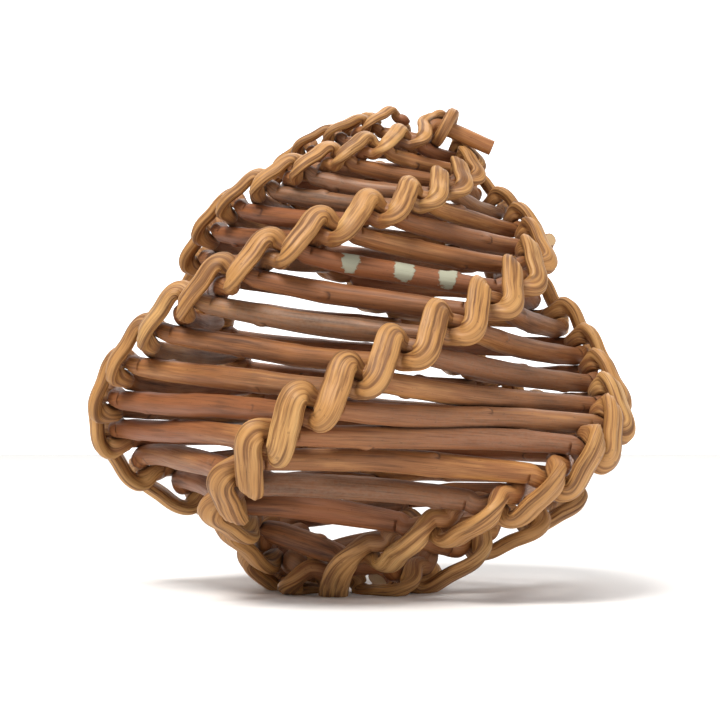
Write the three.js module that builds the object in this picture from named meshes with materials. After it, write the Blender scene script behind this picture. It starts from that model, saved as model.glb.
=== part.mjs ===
// A hollow plaited ball of willow, standing on its small end and leaning a little to one side.
// Six rods are worked round five corners. Each rod runs from one corner to the next, is folded up
// over the rod that follows it there, and goes on to the corner after that one layer higher, so
// the folds lie on five ridges that climb and turn round the ball. A seventh rod is joined on
// where one ran out, and at the crown one rod end is hitched round the trimmed end of another.
// Millimetres, +Z up. The ball leans towards +X and stands on the floor at z = 0.

import * as THREE from 'three';

// ---- driving sizes ----------------------------------------------------------------------------

const cornerCount = 5;
const rodCount = 6;
const firstFold = -15;        // folds are numbered round the corners, five to a layer
const lastFold = 82;
const joinFold = 55;          // the fold where the joined rod begins
const hitchFold = 78;         // the last fold of the rod that is hitched round the stub
const stubFold = 83;          // the corner that the stub runs out past
const sideCount = 6;          // flat sides round a rod
const clearance = 0.35;       // left between rods that touch
const footHeight = 1.4;       // everything below this is pressed flat, as the feet of the base

// The form, layer by layer: how far the folds stand from the axis and above the floor, how far
// the ridges have turned, where the axis stands, how much the layer tilts, and how thick rods are.
const form = [
  { layer: -3, radius: 12.3, height: 4.1, turn: -127.5, axisX: -5.7, tilt: 1.4, thickness: 5 },
  { layer: -2, radius: 20, height: 5, turn: -89, axisX: -3.8, tilt: 1.1, thickness: 5.2 },
  { layer: -1, radius: 31, height: 13.4, turn: -61.5, axisX: -1, tilt: 1.7, thickness: 5.1 },
  { layer: 1, radius: 56.2, height: 26, turn: -33, axisX: -0.4, tilt: 1.7, thickness: 4.9 },
  { layer: 3, radius: 65.5, height: 42.2, turn: -15.2, axisX: 0, tilt: 2.9, thickness: 4.9 },
  { layer: 6, radius: 56, height: 64.3, turn: 12.5, axisX: 2, tilt: 6.6, thickness: 4.6 },
  { layer: 10, radius: 40.5, height: 91, turn: 66, axisX: 4.7, tilt: 7.8, thickness: 4.1 },
  { layer: 14, radius: 22.3, height: 109, turn: 129, axisX: 7, tilt: 8.1, thickness: 3.2 },
  { layer: 17, radius: 8.4, height: 119, turn: 201, axisX: 10.2, tilt: 7.4, thickness: 2.5 },
];

// Half-widths of a rod's section as shares of its thickness: along the ridge, and out from it.
const section = {
  behind: [0.46, 0.48],       // where the rod passes inside a fold, and along its straight
  turning: [0.42, 0.43],      // just before and after the crossing
  crossing: [0.4, 0.42],      // where it meets the next rod, one over the other
  shoulder: [0.68, 0.29],     // the ends of the flattened outside of a fold
};

// Where a rod runs through one fold: how many layers along the ridge, how far up and how far in
// from the ridge (as shares of the rod's room there), and its section.
const foldPath = [
  { layers: -1, up: 1.04, inward: 1.16, shape: section.behind },
  { layers: -0.83, up: 0.54, inward: 0.7, shape: section.turning },
  { layers: -0.5, up: -1.1, inward: 0.74, shape: section.crossing },
  { layers: -0.18, up: -1.72, inward: -0.6, shape: section.shoulder },
  { layers: 0.18, up: 1.72, inward: -0.6, shape: section.shoulder },
  { layers: 0.5, up: 1.1, inward: 0.74, shape: section.crossing },
  { layers: 0.83, up: -0.54, inward: 0.7, shape: section.turning },
  { layers: 1, up: -1.04, inward: 1.16, shape: section.behind },
];
const enterSteps = 2;         // the steps before the crossing
const buttStart = { layers: -0.95, up: 0, inward: 0.1, shape: section.behind };
const joinButt = { layers: -0.33, up: -2.1, inward: -0.75, shape: section.crossing };

// The trimmed stub at the crown, and the turns of the rod that is hitched round it.
const stub = { length: 15, lift: 3, drop: 2.4, turn: -14, thickness: 3.5 };
const hitch = { turns: 1.15, steps: 7, startAngle: 120, from: 0, advance: 3.2, reach: 1, thickness: 2.8 };

// ---- the form as smooth functions of the layer ------------------------------------------------

// A value of the form at any layer, on a smooth curve through the rows and straight beyond them.
function formValue(key, layer) {
  const lastRow = form.length - 1;
  const slopeAt = (row) => {
    const below = form[Math.max(row - 1, 0)];
    const above = form[Math.min(row + 1, lastRow)];
    return (above[key] - below[key]) / (above.layer - below.layer);
  };
  let row = 0;
  while (row < lastRow - 1 && layer > form[row + 1].layer) row += 1;
  const from = form[row];
  const to = form[row + 1];
  const span = to.layer - from.layer;
  const s = (layer - from.layer) / span;
  if (s < 0) return from[key] + slopeAt(row) * s * span;
  if (s > 1) return to[key] + slopeAt(row + 1) * (s - 1) * span;
  const rise = s * s * (3 - 2 * s);
  return from[key] + (to[key] - from[key]) * rise
    + span * s * (1 - s) * ((1 - s) * slopeAt(row) - s * slopeAt(row + 1));
}

// A point on the ridge of a fold, moved along the ridge by some layers or round by some degrees.
function ridgePoint(fold, layers = 0, degrees = 0) {
  const layer = fold / cornerCount + layers;
  const turn = fold * 360 / cornerCount + formValue('turn', layer) + degrees;
  const angle = THREE.MathUtils.degToRad(turn);
  const tilt = THREE.MathUtils.degToRad(formValue('tilt', layer));
  const radius = formValue('radius', layer);
  return new THREE.Vector3(
    formValue('axisX', layer) + radius * Math.sin(angle) * Math.cos(tilt),
    -radius * Math.cos(angle),
    formValue('height', layer) - radius * Math.sin(angle) * Math.sin(tilt),
  );
}

// The directions there: out from the surface, and up the surface across the tangent.
function directionsAt(fold, layers) {
  const along = ridgePoint(fold, layers, 0.5).sub(ridgePoint(fold, layers, -0.5)).normalize();
  const climb = ridgePoint(fold, layers + 0.5).sub(ridgePoint(fold, layers - 0.5));
  const out = new THREE.Vector3().crossVectors(along, climb).normalize();
  return { along, out, up: new THREE.Vector3().crossVectors(out, along) };
}

// ---- the rods ---------------------------------------------------------------------------------

// A station of a rod: where its centre is, which way its flat faces look, and its half-widths.
function stationAt(fold, { layers, up, inward, shape }, thickness) {
  const local = directionsAt(fold, layers);
  const upShift = up * (shape[0] * thickness + clearance / 2);
  const outShift = -inward * ((section.shoulder[1] + section.behind[1]) * thickness + clearance);
  const at = ridgePoint(fold, layers).addScaledVector(local.up, upShift)
    .addScaledVector(local.out, outShift);
  return { at, out: local.out, width: shape[0] * thickness, depth: shape[1] * thickness };
}

// The stations through every sixth fold from one fold to another.
function foldedStations(from, to) {
  const stations = [];
  for (let fold = from; fold <= to; fold += rodCount) {
    const thickness = formValue('thickness', fold / cornerCount);
    stations.push(...foldPath.map((step) => stationAt(fold, step, thickness)));
  }
  return stations;
}

// A whole rod: its butt lies flat in the middle of the base, and its tip is tucked in at the end.
function rodStations(start, end) {
  const thickness = formValue('thickness', start / cornerCount);
  const butt = stationAt(start, buttStart, thickness);
  return [butt, ...foldedStations(start, end).slice(enterSteps)];
}

// The stations by which a rod comes in behind a corner, as far as the crossing.
function enteringStations(fold) {
  const thickness = formValue('thickness', fold / cornerCount);
  return foldPath.slice(0, enterSteps + 1).map((step) => stationAt(fold, step, thickness));
}

// The joined rod starts with its butt standing out below its first fold.
function joinedStations(start, end) {
  const thickness = formValue('thickness', start / cornerCount);
  return [stationAt(start, joinButt, thickness), ...foldedStations(start, end).slice(enterSteps + 1)];
}

// The stub rises through the hitch and runs on past its corner, a little down, to a square cut.
function stubStations() {
  const entering = enteringStations(stubFold);
  const from = entering.at(-1);
  const heading = from.at.clone().sub(entering[0].at).setZ(0).normalize()
    .applyAxisAngle(new THREE.Vector3(0, 0, 1), THREE.MathUtils.degToRad(stub.turn));
  const half = stub.thickness / 2;
  const ends = [[0.1, stub.lift], [1, -stub.drop]].map(([share, rise]) => ({
    at: from.at.clone().addScaledVector(heading, stub.length * share).setZ(from.at.z + rise),
    out: from.out,
    width: half,
    depth: half,
  }));
  return [...entering.slice(0, -1), ...ends];
}

// The hitched end goes over the stub, down behind it, under it and up round it once more.
function hitchStations(stubPath) {
  const [from, to] = stubPath.slice(-2).map((station) => station.at);
  const along = to.clone().sub(from).normalize();
  const front = new THREE.Vector3().crossVectors(along, new THREE.Vector3(0, 0, 1)).normalize();
  const above = new THREE.Vector3().crossVectors(front, along);
  const stations = [];
  for (let step = 0; step <= hitch.steps; step += 1) {
    const share = step / hitch.steps;
    const angle = THREE.MathUtils.degToRad(hitch.startAngle + 360 * hitch.turns * share);
    const radius = (stub.thickness + hitch.thickness) / 2 + clearance + hitch.reach * share;
    const out = front.clone().multiplyScalar(Math.cos(angle)).addScaledVector(above, Math.sin(angle));
    const at = from.clone().addScaledVector(along, hitch.from + hitch.advance * share)
      .addScaledVector(out, radius);
    stations.push({ at, out, width: hitch.thickness / 2, depth: hitch.thickness * 0.42 });
  }
  return stations;
}

// ---- skins ------------------------------------------------------------------------------------

// A closed skin round the stations, with a flat cap on each end and flat feet under the base.
function rodGeometry(stations) {
  const positions = [];
  const faces = [];
  stations.forEach((here, ring) => {
    const before = stations[Math.max(ring - 1, 0)].at;
    const after = stations[Math.min(ring + 1, stations.length - 1)].at;
    const forward = after.clone().sub(before).normalize();
    const flat = here.out.clone().addScaledVector(forward, -here.out.dot(forward)).normalize();
    const side = new THREE.Vector3().crossVectors(flat, forward);
    for (let k = 0; k < sideCount; k += 1) {
      const angle = 2 * Math.PI * k / sideCount;
      const point = here.at.clone().addScaledVector(side, here.width * Math.cos(angle))
        .addScaledVector(flat, here.depth * Math.sin(angle));
      positions.push(point.x, point.y, Math.max(point.z, footHeight) - footHeight);
      if (ring === 0) continue;
      const a = (ring - 1) * sideCount + k;
      const b = (ring - 1) * sideCount + (k + 1) % sideCount;
      faces.push(a, b, a + sideCount, b, b + sideCount, a + sideCount);
    }
  });
  const last = (stations.length - 1) * sideCount;
  for (let k = 1; k < sideCount - 1; k += 1) {
    faces.push(0, k + 1, k, last, last + k, last + k + 1);
  }
  const geometry = new THREE.BufferGeometry();
  geometry.setAttribute('position', new THREE.Float32BufferAttribute(positions, 3));
  geometry.setIndex(faces);
  geometry.computeVertexNormals();
  return geometry;
}

function rodMesh(name, stations, color) {
  const bark = new THREE.MeshStandardMaterial({ color, roughness: 0.75, metalness: 0 });
  const mesh = new THREE.Mesh(rodGeometry(stations), bark);
  mesh.name = name;
  return mesh;
}

// ---- the ball ---------------------------------------------------------------------------------

const barkColors = [0x8d5a32, 0x7c4526, 0x9a6a3c, 0x85502d, 0x91623a, 0x744022];

const group = new THREE.Group();
const stubEnd = stubStations();
for (let rod = 0; rod < rodCount; rod += 1) {
  const start = firstFold + rod;
  const lastOf = (limit) => start + Math.floor((limit - start) / rodCount) * rodCount;
  let stations = rodStations(start, lastOf(lastFold));
  if (lastOf(stubFold) === stubFold) {
    stations = [...rodStations(start, stubFold - rodCount), ...stubEnd];
  } else if (lastOf(hitchFold) === hitchFold) {
    stations = [...rodStations(start, hitchFold).slice(0, -3), ...hitchStations(stubEnd)];
  } else if (lastOf(joinFold) === joinFold) {
    stations = [...rodStations(start, joinFold - rodCount), ...enteringStations(joinFold)];
    group.add(rodMesh('joined_rod', joinedStations(joinFold, lastOf(lastFold)), 0xa37444));
  }
  group.add(rodMesh(`willow_rod_${rod + 1}`, stations, barkColors[rod]));
}

// The origin is on the floor under the middle of the ball's box.
const box = new THREE.Box3().setFromObject(group);
group.position.set(-(box.min.x + box.max.x) / 2, -(box.min.y + box.max.y) / 2, 0);

export default group;
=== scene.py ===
import math

import bmesh
import bpy
import numpy as np
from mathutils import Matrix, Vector, kdtree


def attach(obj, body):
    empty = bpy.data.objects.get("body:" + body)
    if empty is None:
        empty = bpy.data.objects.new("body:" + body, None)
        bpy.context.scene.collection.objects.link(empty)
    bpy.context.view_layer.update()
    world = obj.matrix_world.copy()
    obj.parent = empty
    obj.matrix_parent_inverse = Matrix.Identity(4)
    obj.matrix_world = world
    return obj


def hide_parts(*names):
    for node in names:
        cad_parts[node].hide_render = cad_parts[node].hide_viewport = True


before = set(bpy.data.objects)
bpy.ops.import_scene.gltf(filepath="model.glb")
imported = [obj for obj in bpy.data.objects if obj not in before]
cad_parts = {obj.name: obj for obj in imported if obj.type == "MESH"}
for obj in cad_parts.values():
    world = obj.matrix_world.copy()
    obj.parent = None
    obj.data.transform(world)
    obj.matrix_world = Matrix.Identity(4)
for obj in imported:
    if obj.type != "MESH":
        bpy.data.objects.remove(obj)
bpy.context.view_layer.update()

# A hollow plaited ball of willow. Six long rods and one short joined rod are worked round five
# corners, and the folds climb the ball on five ridges. Sizes below are millimetres.

mm = 0.001

ball = {
    "corners": 5,
    "rods": 6,
    "firstFold": -15,  # folds are numbered round the corners, five to a layer
    "lastFold": 82,
    "joinFold": 55,  # the joined rod begins here
    "hitchFold": 78,  # last fold of the rod that is hitched round the stub
    "stubFold": 83,  # the corner that the stub runs out past
    "clearance": 0.35,
    "foldDepth": 0.29,  # half the depth of a flattened fold, as a share of thickness
    "foot": 1.4,  # the base folds are pressed flat below this
    "footEase": 0.35,  # how softly they turn into their flat feet
    "shift": (1.93, 0.76),  # from the plait's axis to the middle of the box
}

formKeys = ("layer", "radius", "height", "turn", "axisX", "tilt", "thickness")
formRows = [
    (-3, 12.3, 4.1, -127.5, -5.7, 1.4, 5),
    (-2, 20, 5, -89, -3.8, 1.1, 5.2),
    (-1, 31, 13.4, -61.5, -1, 1.7, 5.1),
    (1, 56.2, 26, -33, -0.4, 1.7, 4.9),
    (3, 65.5, 42.2, -15.2, 0, 2.9, 4.9),
    (6, 56, 64.3, 12.5, 2, 6.6, 4.6),
    (10, 40.5, 91, 66, 4.7, 7.8, 4.1),
    (14, 22.3, 109, 129, 7, 8.1, 3.2),
    (17, 8.4, 119, 201, 10.2, 7.4, 2.5),
]
form = [dict(zip(formKeys, row)) for row in formRows]

# half-widths of a rod as shares of its thickness: along the ridge, and out from it
section = {
    "behind": (0.46, 0.48),
    "turning": (0.42, 0.43),
    "crossing": (0.4, 0.42),
    "shoulder": (0.6, 0.31),
    "face": (0.62, 0.33),
}

# layers along the ridge, up and inward in rod widths, section, how crushed the bark is
foldPath = [
    (-1, 1.04, 1.16, "behind", 0),
    (-0.83, 0.54, 0.7, "turning", 0.05),
    (-0.5, -1.1, 0.74, "crossing", 0.4),
    (-0.18, -1.62, -0.3, "shoulder", 1),
    (0, 0, -0.4, "face", 1),
    (0.18, 1.62, -0.3, "shoulder", 1),
    (0.5, 1.1, 0.74, "crossing", 0.4),
    (0.83, -0.54, 0.7, "turning", 0.05),
    (1, -1.04, 1.16, "behind", 0),
]
enterSteps = 2
buttStart = (-0.95, 0, 0.1, "behind", 0)
joinButt = (-0.33, -2.1, -0.75, "crossing", 0)
stub = {"length": 15, "lift": 3, "drop": 2.4, "turn": -14, "thickness": 3.5}
hitch = {
    "turns": 1.15, "steps": 14, "startAngle": 120, "start": 0,
    "advance": 3.2, "reach": 1, "thickness": 2.8,
}


def formValue(key, layer):
    def slopeAt(row):
        below = form[max(row - 1, 0)]
        above = form[min(row + 1, len(form) - 1)]
        return (above[key] - below[key]) / (above["layer"] - below["layer"])

    row = 0
    while row < len(form) - 2 and layer > form[row + 1]["layer"]:
        row += 1
    low, high = form[row], form[row + 1]
    span = high["layer"] - low["layer"]
    s = (layer - low["layer"]) / span
    if s < 0:
        return low[key] + slopeAt(row) * s * span
    if s > 1:
        return high[key] + slopeAt(row + 1) * (s - 1) * span
    rise = s * s * (3 - 2 * s)
    bend = (1 - s) * slopeAt(row) - s * slopeAt(row + 1)
    return low[key] + (high[key] - low[key]) * rise + span * s * (1 - s) * bend


def ridgePoint(fold, layers=0.0, degrees=0.0):
    layer = fold / ball["corners"] + layers
    angle = math.radians(fold * 360 / ball["corners"] + formValue("turn", layer) + degrees)
    tilt = math.radians(formValue("tilt", layer))
    radius = formValue("radius", layer)
    return Vector((
        formValue("axisX", layer) + radius * math.sin(angle) * math.cos(tilt),
        -radius * math.cos(angle),
        formValue("height", layer) - radius * math.sin(angle) * math.sin(tilt),
    ))


def stationAt(fold, step, thickness):
    layers, up, inward, shapeName, crush = step
    along = (ridgePoint(fold, layers, 0.5) - ridgePoint(fold, layers, -0.5)).normalized()
    climb = ridgePoint(fold, layers + 0.5) - ridgePoint(fold, layers - 0.5)
    out = along.cross(climb).normalized()
    upward = out.cross(along)
    shape = section[shapeName]
    upShift = up * (shape[0] * thickness + ball["clearance"] / 2)
    reach = (ball["foldDepth"] + section["behind"][1]) * thickness + ball["clearance"]
    at = ridgePoint(fold, layers) + upward * upShift - out * (inward * reach)
    return {
        "at": at, "out": out, "width": shape[0] * thickness, "depth": shape[1] * thickness,
        "crush": crush, "fold": fold, "layers": layers, "straight": shapeName == "behind",
    }


def foldThickness(fold):
    return formValue("thickness", fold / ball["corners"])


def foldedStations(start, end):
    stations = []
    for fold in range(start, end + 1, ball["rods"]):
        stations += [stationAt(fold, step, foldThickness(fold)) for step in foldPath]
    return stations


def rodStations(start, end):
    butt = stationAt(start, buttStart, foldThickness(start))
    return [butt] + foldedStations(start, end)[enterSteps:]


def enteringStations(fold):
    return [stationAt(fold, step, foldThickness(fold)) for step in foldPath[:enterSteps + 1]]


def joinedStations(start, end):
    butt = stationAt(start, joinButt, foldThickness(start))
    return [butt] + foldedStations(start, end)[enterSteps + 1:]


def turnedAboutZ(vector, degrees):
    c, s = math.cos(math.radians(degrees)), math.sin(math.radians(degrees))
    return Vector((vector.x * c - vector.y * s, vector.x * s + vector.y * c, vector.z))


def stubStations():
    entering = enteringStations(ball["stubFold"])
    last = entering[-1]
    heading = last["at"] - entering[0]["at"]
    heading.z = 0
    heading = turnedAboutZ(heading.normalized(), stub["turn"])
    ends = []
    for share, rise in ((0.1, stub["lift"]), (1, -stub["drop"])):
        at = last["at"] + heading * stub["length"] * share
        at.z = last["at"].z + rise
        half = stub["thickness"] / 2
        ends.append(dict(last, at=at, width=half, depth=half, crush=0, straight=True))
    return entering[:-1] + ends


def hitchStations(stubPath):
    start, end = stubPath[-2]["at"], stubPath[-1]["at"]
    along = (end - start).normalized()
    front = along.cross(Vector((0, 0, 1))).normalized()
    above = front.cross(along)
    stations = []
    for step in range(hitch["steps"] + 1):
        share = step / hitch["steps"]
        angle = math.radians(hitch["startAngle"] + 360 * hitch["turns"] * share)
        radius = (stub["thickness"] + hitch["thickness"]) / 2
        radius += ball["clearance"] + hitch["reach"] * share
        out = front * math.cos(angle) + above * math.sin(angle)
        at = start + along * (hitch["start"] + hitch["advance"] * share) + out * radius
        stations.append({
            "at": at, "out": out, "width": hitch["thickness"] / 2,
            "depth": hitch["thickness"] * 0.42, "crush": 0.8, "fold": ball["hitchFold"],
            "layers": 1, "straight": False,
        })
    return stations


pathLook = {
    "foldSpacing": 0.34,  # between rings in a fold
    "straightSpacing": 1.0,
    "budSpacing": 0.36,
    "budZone": 5,  # length of finer rings at a bud
    "closest": 0.3,  # rings are never nearer than this
    "stiffness": 5.0,  # how much a straight steers its own ends
    "grow": 1.05,  # rods swell against each other
    "bow": 0.35,  # how far straights stray from a line
    "bowLength": 23,
    "fuller": 0.17,  # how much thicker a straight is in its middle
    "sides": 32,
}


def waver(values, period, seed):
    # a smooth random wave of -1..1 along a length
    rng = np.random.default_rng(seed)
    places = np.asarray(values) / period
    low = np.floor(places).astype(int)
    knots = rng.uniform(-1, 1, int(low.max() - low.min()) + 3)
    at = low - low.min()
    share = places - low
    share = share * share * (3 - 2 * share)
    return knots[at] * (1 - share) + knots[at + 1] * share


def directions(stations):
    points = [station["at"] for station in stations]
    result = []
    for i, station in enumerate(stations):
        before = points[i] - points[i - 1] if i else points[1] - points[0]
        after = points[i + 1] - points[i] if i + 1 < len(points) else before
        weightBefore = weightAfter = 1.0
        if station["straight"]:  # a rod is stiff: it leaves a corner along its straight
            stiff = pathLook["stiffness"]
            weightBefore = stiff if before.length > after.length else 1.0
            weightAfter = stiff if after.length > before.length else 1.0
        heading = before.normalized() * weightBefore + after.normalized() * weightAfter
        result.append(heading.normalized())
    return result


def smoothPath(stations, buds, seed):
    # rings along a curve through the stations, closer together in the folds and at the buds
    tangents = directions(stations)
    rings = {key: [] for key in ("at", "out", "width", "depth", "crush", "fold", "share", "length")}
    travelled = 0.0
    for i in range(len(stations) - 1):
        a, b = stations[i], stations[i + 1]
        span = (b["at"] - a["at"]).length
        isStraight = a["straight"] and b["straight"] and a["fold"] != b["fold"]
        spacing = pathLook["straightSpacing"] if isStraight else pathLook["foldSpacing"]
        steps = max(3, math.ceil(span / spacing))
        shares = [k / steps for k in range(steps)]
        if isStraight:
            zone = pathLook["budZone"]
            for share, angle, size in buds.get(a["fold"], ()):
                fine = math.ceil(zone / pathLook["budSpacing"])
                shares += [share + (k / fine - 0.5) * zone / span for k in range(fine)]
            shares = sorted(s for s in set(shares) if 0 <= s < 1)
            kept = [shares[0]]
            for s in shares[1:]:
                if (s - kept[-1]) * span > pathLook["closest"]:
                    kept.append(s)
            shares = kept
        if i == len(stations) - 2:
            shares.append(1.0)
        for s in shares:
            h1, h2 = 2 * s ** 3 - 3 * s ** 2 + 1, s ** 3 - 2 * s ** 2 + s
            h3, h4 = 3 * s ** 2 - 2 * s ** 3, s ** 3 - s ** 2
            at = (a["at"] * h1 + tangents[i] * (h2 * span)
                  + b["at"] * h3 + tangents[i + 1] * (h4 * span))
            blend = s * s * (3 - 2 * s)
            rings["at"].append(at)
            rings["out"].append(a["out"].lerp(b["out"], blend))
            for key in ("width", "depth", "crush"):
                rings[key].append(a[key] + (b[key] - a[key]) * blend)
            rings["fold"].append(a["fold"] if isStraight or s < 1 else b["fold"])
            rings["share"].append(s if isStraight else -1.0)  # only a straight has shares
            rings["length"].append(travelled + s * span)
        travelled += span
    result = {key: np.array([list(v) for v in rings[key]] if key in ("at", "out") else rings[key])
              for key in rings}
    straight = result["share"] >= 0  # straights stray a little from a line
    arch = np.where(straight, np.sin(np.pi * np.clip(result["share"], 0, 1)) ** 2, 0)
    span = np.sin(np.pi * np.clip(result["share"], 0, 1))
    fuller = 1 + pathLook["fuller"] * np.where(straight, span, 0)
    result["width"] *= fuller
    result["depth"] *= fuller
    for axis, axisSeed in ((0, 11), (1, 12), (2, 13)):
        stray = waver(result["length"], pathLook["bowLength"], seed * 31 + axisSeed)
        result["at"][:, axis] += pathLook["bow"] * arch * stray
    return result


rodLook = {
    "pleats": ((4, 0.018), (6, 0.02), (9, 0.03), (13, 0.03)),  # ridges round the rod, share of its thickness
    "straightPleat": 0.34,  # how much of them shows on a straight
    "swell": 0.035,  # slow changes of thickness
    "budLength": 1.5, "budWidth": 0.85, "budHeight": 0.62,
    "knee": 0.05,  # how far a rod swells at a bud
}


def rodFrames(path):
    # the rod's own directions at each ring
    at = path["at"]
    forward = np.gradient(at, axis=0)
    forward /= np.linalg.norm(forward, axis=1)[:, None]
    out = path["out"] / np.linalg.norm(path["out"], axis=1)[:, None]
    flat = out - forward * np.sum(out * forward, axis=1)[:, None]
    flat /= np.linalg.norm(flat, axis=1)[:, None]
    side = np.cross(flat, forward)
    return side, flat


def rodSurface(path, buds, seed):
    # every point of the rod's skin, ring by ring, and the marks it carries
    sides = pathLook["sides"]
    side, flat = rodFrames(path)
    angle = np.linspace(0, 2 * np.pi, sides + 1)
    length = path["length"][:, None]
    crush = path["crush"][:, None]
    thickness = (path["width"] + path["depth"])[:, None]
    relief = np.zeros((len(path["at"]), sides + 1))
    for ridges, amount in rodLook["pleats"]:
        turn = 1.1 * waver(path["length"], 21, seed + ridges)[:, None]
        strength = 0.75 + 0.5 * waver(path["length"], 9, seed + ridges + 50)[:, None]
        relief += amount * strength * np.cos(ridges * angle[None, :] + turn + ridges)
    relief *= rodLook["straightPleat"] + (1.35 - rodLook["straightPleat"]) * crush
    relief += rodLook["swell"] * waver(path["length"], 17, seed + 5)[:, None] * (1 - crush)
    relief *= thickness * 0.5
    dark = np.zeros_like(relief)
    for fold, marks in buds.items():
        here = (path["fold"] == fold) & (path["share"] >= 0)
        if not here.any():
            continue
        lengths = path["length"][here]
        for share, budAngle, size in marks:
            at = lengths[0] + share * (lengths[-1] - lengths[0])
            ahead = (length - at) / rodLook["budLength"]
            around = (angle[None, :] - budAngle + np.pi) % (2 * np.pi) - np.pi
            across = around * thickness * 0.5 / rodLook["budWidth"]
            away = np.sqrt((ahead - 0.35 * np.abs(across)) ** 2 + across ** 2)
            bump = np.exp(-away ** 3)
            relief += size * rodLook["budHeight"] * bump
            relief += rodLook["knee"] * thickness * 0.5 * np.exp(-(ahead / 1.8) ** 2)
            rim = np.exp(-((away - 1.05) / 0.34) ** 2) * (0.56 + 0.44 * np.tanh(3 * ahead))
            relief -= size * 0.2 * rim
            dark = np.maximum(dark, rim * min(1.0, 0.55 + 0.4 * size))
    widths = path["width"][:, None] * pathLook["grow"] + relief
    depths = path["depth"][:, None] * pathLook["grow"] + relief
    squareness = 1 + 0.05 * crush * np.abs(np.sin(2 * angle[None, :]))  # a crushed fold is boxier
    points = (
        path["at"][:, None, :]
        + side[:, None, :] * (widths * squareness * np.cos(angle)[None, :])[:, :, None]
        + flat[:, None, :] * (depths * squareness * np.sin(angle)[None, :])[:, :, None]
    )
    place = np.stack([
        thickness * 0.5 * np.cos(angle)[None, :], thickness * 0.5 * np.sin(angle)[None, :],
        np.repeat(length, sides + 1, axis=1) + seed * 37.0,
    ], axis=2)
    return {"points": points, "place": place, "dark": dark, "crush": np.repeat(crush, sides + 1, axis=1)}


def setOnFloor(points):
    moved = points.copy()
    moved[..., 0] += ball["shift"][0]
    moved[..., 1] += ball["shift"][1]
    height = moved[..., 2] - ball["foot"]
    soft = ball["footEase"]
    eased = (height + soft) ** 2 / (4 * soft)
    moved[..., 2] = np.where(height > soft, height, np.where(height < -soft, 0.0, eased))
    return moved


def rolledTube(name, skin):
    # a grid is rolled into a tube, its seam is merged, and its ends are stepped in and closed
    rings, columns = skin["points"].shape[:2]
    bm = bmesh.new()
    bmesh.ops.create_grid(bm, x_segments=columns - 1, y_segments=rings - 1, size=0.5)
    placeLayer = bm.verts.layers.float_vector.new("rodPlace")
    marksLayer = bm.verts.layers.float_color.new("marks")
    tintLayer = bm.verts.layers.float_color.new("tint")
    seam = []
    for vert in bm.verts:
        column = round((vert.co.x + 0.5) * (columns - 1))
        ring = round((vert.co.y + 0.5) * (rings - 1))
        vert.co = skin["points"][ring, column]
        vert[placeLayer] = skin["place"][ring, column]
        vert[marksLayer] = skin["marks"][ring, column]
        vert[tintLayer] = skin["tint"][ring, column]
        if column in (0, columns - 1):
            seam.append(vert)
    bmesh.ops.remove_doubles(bm, verts=seam, dist=1e-7)
    rim = [edge for edge in bm.edges if edge.is_boundary]
    bmesh.ops.holes_fill(bm, edges=rim, sides=0)
    bmesh.ops.recalc_face_normals(bm, faces=bm.faces)
    for face in bm.faces:
        face.smooth = len(face.verts) == 4
    mesh = bpy.data.meshes.new(name)
    bm.to_mesh(mesh)
    bm.free()
    piece = bpy.data.objects.new(name, mesh)
    bpy.context.scene.collection.objects.link(piece)
    return piece


def steppedEnds(skin):
    # three more rings at each end run across the cut: rim, wood, pith
    for first in (True, False):
        edge = 0 if first else -1
        middle = skin["points"][edge].mean(axis=0)
        for key in ("points", "place", "marks", "tint"):
            layers = []
            for share, cut in ((0.97, 0.0), (0.9, 1.0), (0.5, 1.0), (0.16, 1.0)):
                ring = skin[key][edge].copy()
                if key == "points":
                    ring = middle + (ring - middle) * share
                elif key == "place":
                    ring[:, :2] *= share
                elif key == "marks":
                    ring[:, 3] = cut
                layers.append(ring)
            stack = np.stack(layers[::-1] if first else layers)
            skin[key] = np.concatenate([stack, skin[key]] if first else [skin[key], stack])
    return skin


rng = np.random.default_rng(41)
budLook = {"every": (24, 44), "size": (0.3, 0.85)}


def budsFor(start, end):
    # buds and scars along the straights, each a good part of a turn round from the last
    buds = {}
    angle = rng.uniform(0, 2 * math.pi)
    for fold in range(start, end, ball["rods"]):
        span = (ridgePoint(fold + ball["rods"]) - ridgePoint(fold)).length
        count = max(1, round(span / rng.uniform(*budLook["every"])))
        marks = []
        for k in range(count):
            angle = (angle + math.radians(rng.uniform(125, 160))) % (2 * math.pi)
            share = (k + rng.uniform(0.2, 0.8)) / count
            marks.append((min(max(share, 0.08), 0.92), angle, rng.uniform(*budLook["size"])))
        buds[fold] = marks
    return buds


def lastFoldOf(start, limit):
    return start + (limit - start) // ball["rods"] * ball["rods"]


rodPlan = []
stubPath = stubStations()
for rod in range(ball["rods"]):
    start = ball["firstFold"] + rod
    end = lastFoldOf(start, ball["lastFold"])
    if lastFoldOf(start, ball["stubFold"]) == ball["stubFold"]:
        stations = rodStations(start, ball["stubFold"] - ball["rods"]) + stubPath
    elif end == ball["hitchFold"]:
        stations = rodStations(start, end)[:-3] + hitchStations(stubPath)
    elif lastFoldOf(start, ball["joinFold"]) == ball["joinFold"]:
        rodPlan.append(("joined_rod", joinedStations(ball["joinFold"], end), ball["joinFold"], end))
        stations = rodStations(start, ball["joinFold"] - ball["rods"]) + enteringStations(ball["joinFold"])
        end = ball["joinFold"]
    else:
        stations = rodStations(start, end)
    rodPlan.append((f"willow_rod_{rod + 1}", stations, start, end))
rodPlan.sort(key=lambda plan: plan[0] == "joined_rod")

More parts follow.
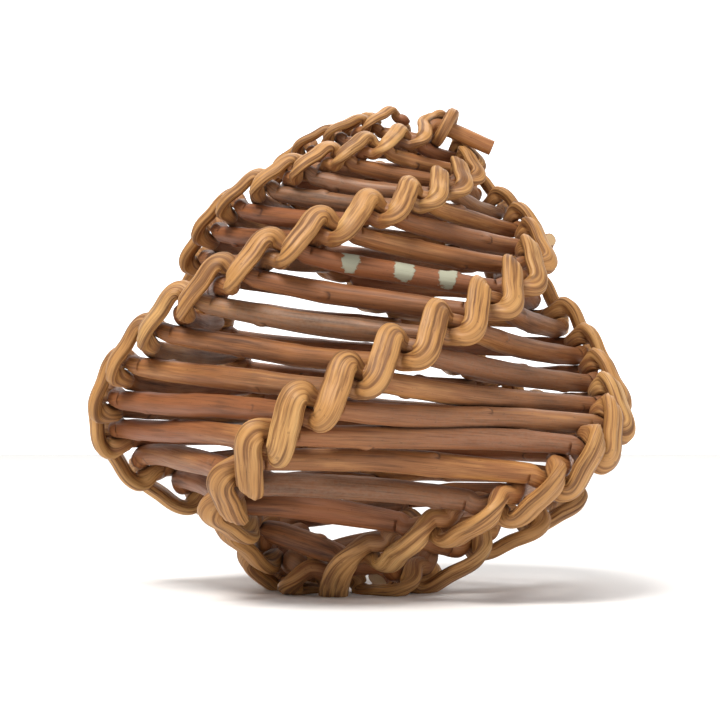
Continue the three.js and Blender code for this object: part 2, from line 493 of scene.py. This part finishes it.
skins = {}
touchPoints = []
for index, (name, stations, start, end) in enumerate(rodPlan):
    buds = budsFor(start, end)
    path = smoothPath(stations, buds, index + 1)
    skins[name] = (path, rodSurface(path, buds, index + 1))
    for k in range(0, len(path["at"]), 2):
        radius = min(path["width"][k], path["depth"][k]) * pathLook["grow"]
        touchPoints.append((index, k, path["at"][k], radius, path["length"][k]))
print("paths laid:", {name: len(path["at"]) for name, (path, skin) in skins.items()})

tree = kdtree.KDTree(len(touchPoints))
for k, point in enumerate(touchPoints):
    tree.insert(Vector(point[2]), k)
tree.balance()


contactShadeLook = {
    "search": 8.0,  # how far round a ring other rods are looked for
    "ownLength": 14,  # nearer than this along the same rod is not another rod
    "gap": 1.6,  # the shade between rods fades out over this
}


def paintedShadeNearRods(index, path, points):
    # painted shade: 1 where the skin touches another rod, fading out over a short gap
    result = np.zeros(points.shape[:2])
    for ring in range(len(points)):
        near = []
        for co, k, away in tree.find_range(Vector(path["at"][ring]), contactShadeLook["search"]):
            other = touchPoints[k]
            if other[0] != index or abs(other[4] - path["length"][ring]) > contactShadeLook["ownLength"]:
                near.append(other)
        if near:
            centres = np.array([other[2] for other in near])
            radii = np.array([other[3] for other in near])
            away = np.linalg.norm(points[ring][:, None, :] - centres[None, :, :], axis=2)
            gaps = away - radii[None, :]
            result[ring] = np.clip(1 - gaps.min(axis=1) / contactShadeLook["gap"], 0, 1)
    return result


barkLook = {
    "darkBark": (0.06, 0.021, 0.008), "midBark": (0.26, 0.1, 0.031), "lightBark": (0.5, 0.235, 0.075),
    "redBark": (0.25, 0.08, 0.029), "greyBark": (0.24, 0.165, 0.11),
    "darkFold": (0.19, 0.078, 0.022), "midFold": (0.48, 0.24, 0.075), "lightFold": (0.68, 0.42, 0.16),
    # a near-black colour for painted shade between touching rods and for the dark rims round the buds
    "paintedShadeAndRimDark": (0.022, 0.009, 0.005), "lichen": (0.36, 0.36, 0.27),
    "cutWood": (0.5, 0.33, 0.17), "bumpStrength": 0.75, "bumpDepth": 0.00035, "sheen": 0.42,
}


def addSocket(group, name, inOut, kind, value=None):
    socket = group.interface.new_socket(name=name, in_out=inOut, socket_type=kind)
    if value is not None:
        socket.default_value = value
    return socket


class NodeBench:
    # a few short ways to place and join nodes in one tree
    def __init__(self, tree):
        self.tree = tree
        self.count = 0

    def put(self, kind, **values):
        node = self.tree.nodes.new(kind)
        node.location = (self.count % 9 * 190, -(self.count // 9) * 230)
        self.count += 1
        for key, value in values.items():
            setattr(node, key, value)
        return node

    def feed(self, node, name, value):
        socket = node.inputs[name]
        if isinstance(value, bpy.types.NodeSocket):
            self.tree.links.new(value, socket)
        else:
            socket.default_value = value

    def calc(self, operation, a, b=0.0, clamp=False):
        node = self.put("ShaderNodeMath", operation=operation, use_clamp=clamp)
        self.feed(node, 0, a)
        self.feed(node, 1, b)
        return node.outputs[0]

    def blend(self, factor, a, b, mode="MIX"):
        node = self.put("ShaderNodeMix", data_type="RGBA", blend_type=mode)
        self.feed(node, 0, factor)
        self.feed(node, 6, a if isinstance(a, bpy.types.NodeSocket) else (*a, 1))
        self.feed(node, 7, b if isinstance(b, bpy.types.NodeSocket) else (*b, 1))
        return node.outputs[2]

    def ranged(self, value, low, high, outLow=0.0, outHigh=1.0):
        node = self.put("ShaderNodeMapRange", interpolation_type="SMOOTHSTEP")
        self.feed(node, 0, value)
        for k, number in enumerate((low, high, outLow, outHigh)):
            node.inputs[k + 1].default_value = number
        return node.outputs[0]

    def grain(self, vector, stretch, scale, detail=3.0, roughness=0.6):
        mapping = self.put("ShaderNodeMapping")
        self.feed(mapping, "Vector", vector)
        mapping.inputs["Scale"].default_value = stretch
        node = self.put("ShaderNodeTexNoise")
        self.feed(node, "Vector", mapping.outputs[0])
        self.feed(node, "Scale", scale)
        self.feed(node, "Detail", detail)
        self.feed(node, "Roughness", roughness)
        return node.outputs[0]


def makeBarkGroup():
    group = bpy.data.node_groups.new("willowBark", "ShaderNodeTree")
    for name in ("Place", "Marks", "Tint"):
        addSocket(group, name, "INPUT", "NodeSocketVector" if name == "Place" else "NodeSocketColor")
    addSocket(group, "Cut", "INPUT", "NodeSocketFloat", 0.0)
    addSocket(group, "Color", "OUTPUT", "NodeSocketColor")
    addSocket(group, "Roughness", "OUTPUT", "NodeSocketFloat")
    addSocket(group, "Height", "OUTPUT", "NodeSocketFloat")
    bench = NodeBench(group)
    given = bench.put("NodeGroupInput")
    place = given.outputs["Place"]
    marks = bench.put("ShaderNodeSeparateColor")
    bench.feed(marks, 0, given.outputs["Marks"])
    crush, paintedShadeAndRimMask, lichen = marks.outputs[0], marks.outputs[1], marks.outputs[2]
    tint = bench.put("ShaderNodeSeparateColor")
    bench.feed(tint, 0, given.outputs["Tint"])
    red, light, grey = tint.outputs[0], tint.outputs[1], tint.outputs[2]

    fibre = bench.grain(place, (1, 1, 0.045), 1.15, 4, 0.62)  # lines along the rod
    hair = bench.grain(place, (1, 1, 0.03), 3.4, 2, 0.5)
    patch = bench.grain(place, (1, 1, 0.35), 0.16, 3, 0.55)
    speck = bench.grain(place, (1, 1, 0.6), 1.7, 2, 0.5)

    lift = bench.calc("ADD", bench.calc("MULTIPLY", patch, 0.55), bench.calc("MULTIPLY", fibre, 0.75))
    lift = bench.calc("ADD", lift, bench.calc("SUBTRACT", light, 0.65))
    bark = bench.blend(bench.ranged(lift, 0.18, 0.52), barkLook["darkBark"], barkLook["midBark"])
    bark = bench.blend(bench.ranged(lift, 0.48, 0.82), bark, barkLook["lightBark"])
    redder = bench.calc("MULTIPLY", red, bench.ranged(patch, 0.3, 0.7, 0.5, 0.95))
    bark = bench.blend(redder, bark, barkLook["redBark"])
    greyer = bench.calc("MULTIPLY", grey, bench.ranged(speck, 0.3, 0.7, 0.4, 0.9))
    bark = bench.blend(greyer, bark, barkLook["greyBark"])

    line = bench.ranged(fibre, 0.36, 0.56)
    foldBark = bench.blend(line, barkLook["darkFold"], barkLook["midFold"])
    foldBark = bench.blend(bench.ranged(lift, 0.5, 0.95), foldBark, barkLook["lightFold"])
    color = bench.blend(bench.calc("MULTIPLY", crush, 0.92), bark, foldBark)
    hairLine = bench.ranged(hair, 0.3, 0.52, 0.72, 1.0)
    hairColor = bench.put("ShaderNodeCombineColor")
    for k in range(3):
        bench.feed(hairColor, k, hairLine)
    color = bench.blend(1.0, color, hairColor.outputs[0], "MULTIPLY")
    dots = bench.ranged(speck, 0.66, 0.74)
    color = bench.blend(bench.calc("MULTIPLY", dots, 0.35), color, barkLook["darkBark"])

    crust = bench.grain(place, (1, 1, 0.7), 0.9, 4, 0.7)
    lichenMask = bench.ranged(bench.calc("ADD", lichen, crust), 1.0, 1.12)
    color = bench.blend(lichenMask, color, barkLook["lichen"])
    # painted shade: near-black where rods touch, and the dark rims round the buds
    color = bench.blend(bench.ranged(paintedShadeAndRimMask, 0.35, 1.0, 0.0, 0.9), color, barkLook["paintedShadeAndRimDark"])
    color = bench.blend(given.outputs["Cut"], color, barkLook["cutWood"])

    height = bench.calc("ADD", bench.calc("MULTIPLY", fibre, 0.7), bench.calc("MULTIPLY", hair, 0.35))
    height = bench.calc("MULTIPLY", height, bench.ranged(crush, 0.0, 1.0, 0.6, 1.25))
    height = bench.calc("ADD", height, bench.calc("MULTIPLY", lichenMask, 0.5))
    smooth = bench.ranged(fibre, 0.3, 0.7, 0.62, 0.46)
    rough = bench.calc("ADD", smooth, bench.calc("MULTIPLY", lichenMask, 0.3))
    result = bench.put("NodeGroupOutput")
    bench.feed(result, "Color", color)
    bench.feed(result, "Roughness", rough)
    bench.feed(result, "Height", height)
    return group


barkGroup = makeBarkGroup()


def makeBark(name):
    material = bpy.data.materials.new(name)
    material.use_nodes = True
    material.node_tree.nodes.clear()
    bench = NodeBench(material.node_tree)
    bark = bench.put("ShaderNodeGroup", node_tree=barkGroup)
    for socket, layer in (("Place", "rodPlace"), ("Marks", "marks"), ("Tint", "tint")):
        attribute = bench.put("ShaderNodeAttribute", attribute_name=layer)
        bench.feed(bark, socket, attribute.outputs["Vector" if socket == "Place" else "Color"])
        if layer == "marks":
            bench.feed(bark, "Cut", attribute.outputs["Alpha"])
    bump = bench.put("ShaderNodeBump")
    bump.inputs["Strength"].default_value = barkLook["bumpStrength"]
    bump.inputs["Distance"].default_value = barkLook["bumpDepth"]
    bench.feed(bump, "Height", bark.outputs["Height"])
    shader = bench.put("ShaderNodeBsdfPrincipled")
    shader.inputs["Specular IOR Level"].default_value = barkLook["sheen"]
    bench.feed(shader, "Base Color", bark.outputs["Color"])
    bench.feed(shader, "Roughness", bark.outputs["Roughness"])
    bench.feed(shader, "Normal", bump.outputs[0])
    output = bench.put("ShaderNodeOutputMaterial")
    bench.feed(output, "Surface", shader.outputs[0])
    return material


tintLook = {  # middle, swing and length of the slow changes of colour along a rod
    "red": (0.25, 0.75, 58), "light": (0.5, 0.14, 44), "grey": (0, 0.55, 66),
}


def tintFor(path, seed, sides):
    length = path["length"]
    tint = np.zeros((len(length), sides + 1, 4))
    for k, (middleTint, swing, period) in enumerate(tintLook.values()):
        shade = middleTint + swing * waver(length, period, seed + 90 + k)
        tint[..., k] = np.clip(shade, 0, 1)[:, None]
    tint[..., 3] = 1
    return tint


lichenLook = {"fold": 39, "patches": ((0.14, 0.3), (0.42, 0.6), (0.66, 0.82))}


def lichenOn(path, sides):
    # flaky grey-green bark in a few patches along one straight, on its outer and upper side
    around = np.linspace(0, 2 * np.pi, sides + 1)
    outer = np.clip(0.55 + 0.6 * np.sin(around), 0, 1)[None, :]
    along = np.zeros(len(path["share"]))
    for start, end in lichenLook["patches"]:
        inside = (path["fold"] == lichenLook["fold"]) & (path["share"] > start) & (path["share"] < end)
        along = np.where(inside, np.sin(np.pi * (path["share"] - start) / (end - start)) ** 1.2, along)
    return along[:, None] * outer


bark = makeBark("willow_bark")
rodPieces = {}
for index, (name, stations, start, end) in enumerate(rodPlan):
    path, skin = skins[name]
    paintedContactShade = paintedShadeNearRods(index, path, skin["points"])
    marks = np.zeros(skin["points"].shape[:2] + (4,))
    marks[..., 0] = skin["crush"]
    # channel 1 is painted shade where rods touch, together with the dark rims round the buds
    marks[..., 1] = np.clip(np.maximum(paintedContactShade, skin["dark"]), 0, 1)
    marks[..., 2] = lichenOn(path, pathLook["sides"])
    skin["marks"] = marks
    skin["tint"] = tintFor(path, index * 7 + 3, pathLook["sides"])
    skin["points"] = setOnFloor(skin["points"]) * mm
    piece = rolledTube(f"{name}_bark", steppedEnds(skin))
    piece.data.materials.append(bark)
    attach(piece, "root")
    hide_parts(name)
    rodPieces[name] = piece
print("rods made:", sum(len(piece.data.polygons) for piece in rodPieces.values()), "faces")

studio = {
    "floorColor": (0.9, 0.895, 0.89), "wallGlow": 0.8,
    "floorSize": 3.0, "wallAt": 1.6, "wallRadius": 0.7, "wallHeight": 2.2,
    "worldColor": (1.0, 0.99, 0.98), "worldStrength": 0.34,
    "key": {"at": (-0.38, -0.68, 1.25), "size": 0.6, "energy": 24, "color": (1.0, 0.97, 0.93)},
    "fill": {"at": (0.9, -0.7, 0.45), "size": 0.9, "energy": 3.5, "color": (0.97, 0.98, 1.0)},
    "back": {"at": (0.2, 0.9, 1.3), "size": 1.0, "energy": 9, "color": (1.0, 0.99, 0.97)},
}


def makeBackdrop():
    # a strip of paper: flat floor, then one soft curve up behind
    bm = bmesh.new()
    half = studio["floorSize"]
    start = bm.verts.new((-half, -half, 0))
    other = bm.verts.new((half, -half, 0))
    edge = bm.edges.new((start, other))
    moved = bmesh.ops.extrude_edge_only(bm, edges=[edge])["geom"]
    corners = [g for g in moved if isinstance(g, bmesh.types.BMVert)]
    bmesh.ops.translate(bm, verts=corners, vec=(0, half + studio["wallAt"], 0))
    edges = [g for g in moved if isinstance(g, bmesh.types.BMEdge)]
    centre = (0, studio["wallAt"], studio["wallRadius"])
    spun = bmesh.ops.spin(bm, geom=edges, cent=centre, axis=(1, 0, 0),
                          angle=math.radians(90), steps=24, use_merge=False)
    edges = [g for g in spun["geom_last"] if isinstance(g, bmesh.types.BMEdge)]
    moved = bmesh.ops.extrude_edge_only(bm, edges=edges)["geom"]
    corners = [g for g in moved if isinstance(g, bmesh.types.BMVert)]
    bmesh.ops.translate(bm, verts=corners, vec=(0, 0, studio["wallHeight"]))
    for face in bm.faces:
        face.smooth = True
    mesh = bpy.data.meshes.new("backdrop")
    bm.to_mesh(mesh)
    bm.free()
    piece = bpy.data.objects.new("backdrop", mesh)
    bpy.context.scene.collection.objects.link(piece)
    material = bpy.data.materials.new("backdropPaper")
    material.use_nodes = True
    shader = material.node_tree.nodes["Principled BSDF"]
    shader.inputs["Base Color"].default_value = (*studio["floorColor"], 1)
    shader.inputs["Roughness"].default_value = 0.9
    mesh.materials.append(material)
    glow = material.copy()
    glow.name = "backdropGlow"
    glowShader = glow.node_tree.nodes["Principled BSDF"]
    glowShader.inputs["Emission Color"].default_value = (1, 1, 1, 1)
    glowShader.inputs["Emission Strength"].default_value = studio["wallGlow"]
    mesh.materials.append(glow)
    for face in mesh.polygons:
        face.material_index = 1 if face.center.y > studio["wallAt"] else 0
    return piece


makeBackdrop()

world = bpy.data.worlds.new("studioAir")
world.use_nodes = True
world.node_tree.nodes["Background"].inputs[0].default_value = (*studio["worldColor"], 1)
world.node_tree.nodes["Background"].inputs[1].default_value = studio["worldStrength"]
bpy.context.scene.world = world
middle = Vector((0, 0, 0.055))
for name in ("key", "fill", "back"):
    look = studio[name]
    lamp = bpy.data.lights.new(name + "Lamp", "AREA")
    lamp.energy = look["energy"]
    lamp.size = look["size"]
    lamp.color = look["color"]
    holder = bpy.data.objects.new(name + "Lamp", lamp)
    holder.location = look["at"]
    holder.rotation_euler = (middle - Vector(look["at"])).to_track_quat("-Z", "Y").to_euler()
    bpy.context.scene.collection.objects.link(holder)

view = {"at": (0.00043, -0.49924, 0.0443), "lens": 100, "pitch": 1.49}
lens = bpy.data.cameras.new("viewCamera")
lens.lens = view["lens"]
lens.sensor_width = 36
lens.clip_start = 0.01
camera = bpy.data.objects.new("viewCamera", lens)
camera.location = view["at"]
camera.rotation_euler = (math.radians(90 + view["pitch"]), 0, 0)
bpy.context.scene.collection.objects.link(camera)
bpy.context.scene.camera = camera
bpy.context.scene.view_settings.view_transform = "Standard"
print("studio set")
